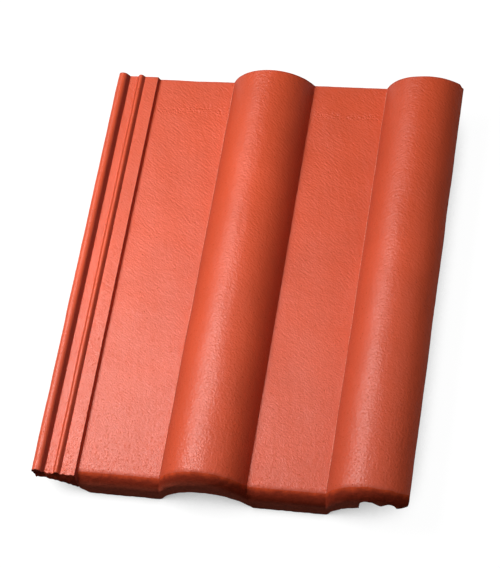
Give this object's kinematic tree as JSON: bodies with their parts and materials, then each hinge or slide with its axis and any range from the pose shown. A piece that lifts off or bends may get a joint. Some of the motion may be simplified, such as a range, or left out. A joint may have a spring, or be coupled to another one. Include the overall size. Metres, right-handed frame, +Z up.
{
  "type": "interlocking double-roll roof tile",
  "caption": "Coated concrete roof tile with rolls and flat pans, a ribbed side lock, a rounded foot and hanging nibs; it hooks on a batten and laps its neighbours.",
  "frame": {"origin": "middle of the tile's box, at the level that its foot and nibs rest on", "axes": "+X from the side lock to the covering roll, +Y from the foot to the head, +Z up out of the weather face"},
  "size_m": [0.3396, 0.42, 0.0525],
  "materials": {
    "coated_concrete": "satin coat over pressed concrete"
  },
  "bodies": {
    "root": {"pantile": "coated_concrete"}
  },
  "joints": []
}
